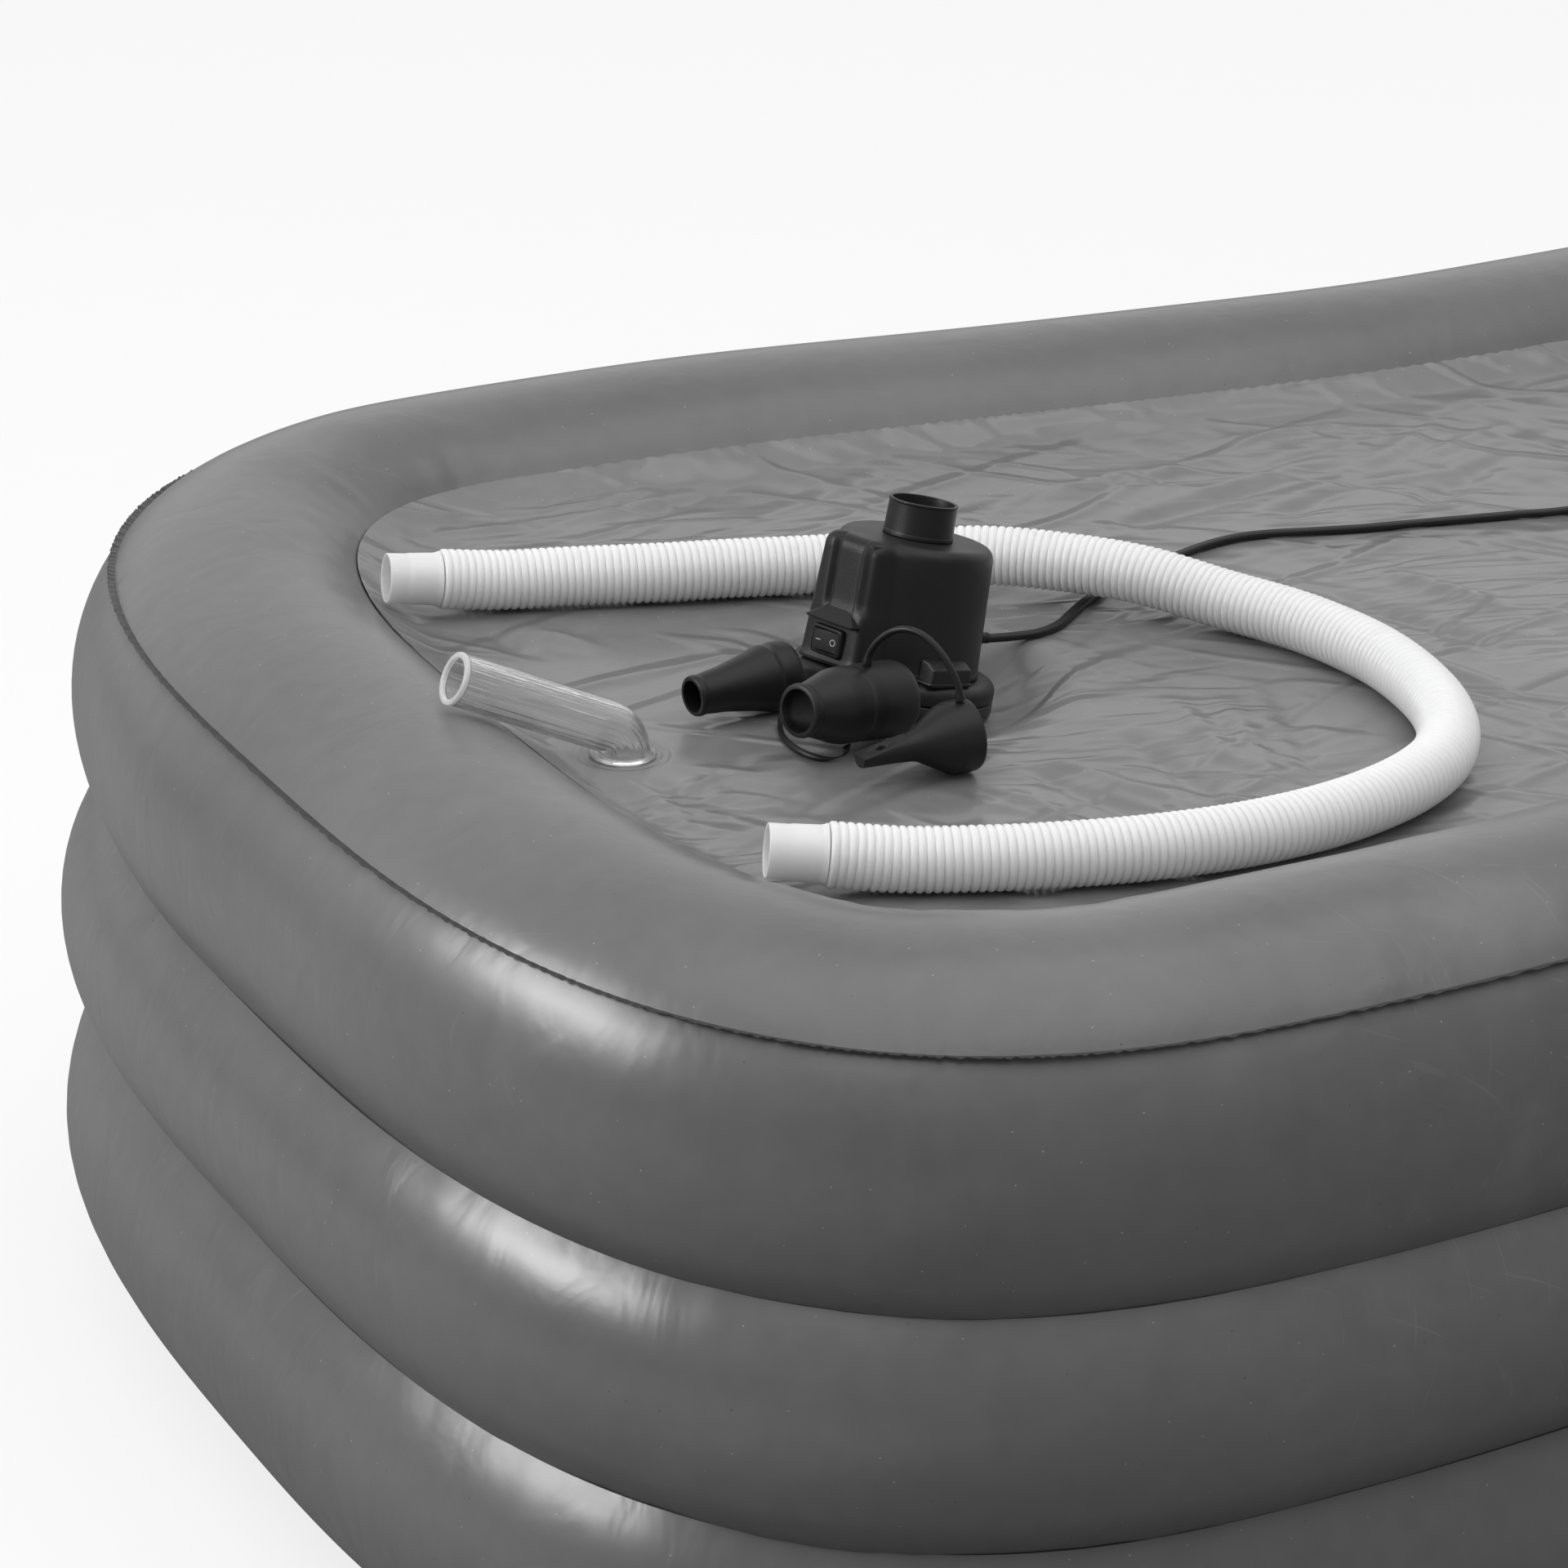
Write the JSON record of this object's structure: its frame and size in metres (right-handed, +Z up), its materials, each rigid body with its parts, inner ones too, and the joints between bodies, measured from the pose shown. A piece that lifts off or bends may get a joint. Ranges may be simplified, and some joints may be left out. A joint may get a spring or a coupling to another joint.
{
  "type": "inflatable bathtub",
  "caption": "Inflatable PVC bathtub standing upside down on its rim, floor sheet uppermost, with its drain outlet, electric air pump, nozzles and ribbed hose on top.",
  "frame": {"origin": "on the floor, under the middle of the tub's bounding box", "axes": "+Z up, away from the floor; the tub stands on its rim, so its floor sheet is uppermost and the basin opens downwards; +X along the tub, the drain outlet lies at its -X end; +Y to the side with the inflation valves"},
  "size_m": [1.801, 0.949, 0.4854],
  "materials": {
    "grey_pvc": "satin inflated PVC film",
    "floor_pvc": "satin PVC sheet",
    "clear_pvc": "clear moulded PVC",
    "white_hose": "translucent white blow-moulded polyethylene",
    "black_plastic": "satin black ABS",
    "black_rubber": "satin black soft PVC",
    "steel": "plated steel"
  },
  "bodies": {
    "tub": {"rim_chamber": "grey_pvc", "middle_chamber": "grey_pvc", "base_chamber": "grey_pvc", "seam_fin": "grey_pvc", "floor_sheet": "floor_pvc", "drain_flange": "clear_pvc", "drain_elbow": "clear_pvc", "hose": "white_hose", "far_cuff": "white_hose", "near_cuff": "white_hose", "rim_valve_body": "black_plastic", "rim_valve_insert": "black_plastic", "middle_valve_body": "black_plastic", "middle_valve_insert": "black_plastic", "base_valve_body": "black_plastic", "base_valve_insert": "black_plastic", "base_plate": "black_plastic", "base_cover": "black_plastic", "pump_housing": "black_plastic", "spout": "black_plastic", "motor_plate": "black_plastic", "switch_bezel": "black_plastic", "narrow_nozzle": "black_rubber", "wide_nozzle": "black_rubber", "pinch_nozzle": "black_rubber", "upper_tether": "black_rubber", "lower_tether": "black_rubber", "strain_relief": "black_rubber", "cord_lead": "black_rubber", "cord_coil": "black_rubber", "cord_tail": "black_rubber", "plug_body": "black_rubber", "base_screw_1": "steel", "base_screw_2": "steel", "base_screw_3": "steel", "base_screw_4": "steel", "motor": "steel", "plug_pin_1": "steel", "plug_pin_2": "steel"},
    "rocker": {"rocker": "black_plastic"},
    "fan": {"impeller": "black_plastic", "motor_shaft": "steel"},
    "rim_cap": {"rim_valve_cap": "black_plastic"},
    "middle_cap": {"middle_valve_cap": "black_plastic"},
    "base_cap": {"base_valve_cap": "black_plastic"},
    "stopper": {"drain_stopper": "black_rubber"}
  },
  "joints": [
    {"name": "rocker_tip", "type": "hinge", "parent": "tub", "child": "rocker", "pos_m": [-0.56829, -0.014, 0.42248], "axis": [0.2138, 0.0979, 0.972], "range_deg": [-18, 0]},
    {"name": "fan_spin", "type": "hinge", "parent": "tub", "child": "fan", "pos_m": [-0.5275, -0.0055, 0.38014], "axis": [0.2138, 0.0979, 0.972], "continuous": true},
    {"name": "stopper_pull", "type": "slide", "parent": "tub", "child": "stopper", "axis": [0, 0, -1], "range_m": [0, 0.03]},
    {"name": "rim_cap_hinge", "type": "hinge", "parent": "tub", "child": "rim_cap", "pos_m": [-0.1105, 0.45326, 0.092], "axis": [0, 0, -1], "range_deg": [0, 150]},
    {"name": "middle_cap_hinge", "type": "hinge", "parent": "tub", "child": "middle_cap", "pos_m": [0.0195, 0.44813, 0.214], "axis": [0, 0, -1], "range_deg": [0, 150]},
    {"name": "base_cap_hinge", "type": "hinge", "parent": "tub", "child": "base_cap", "pos_m": [0.1495, 0.44557, 0.332], "axis": [0, 0, -1], "range_deg": [0, 150]}
  ]
}
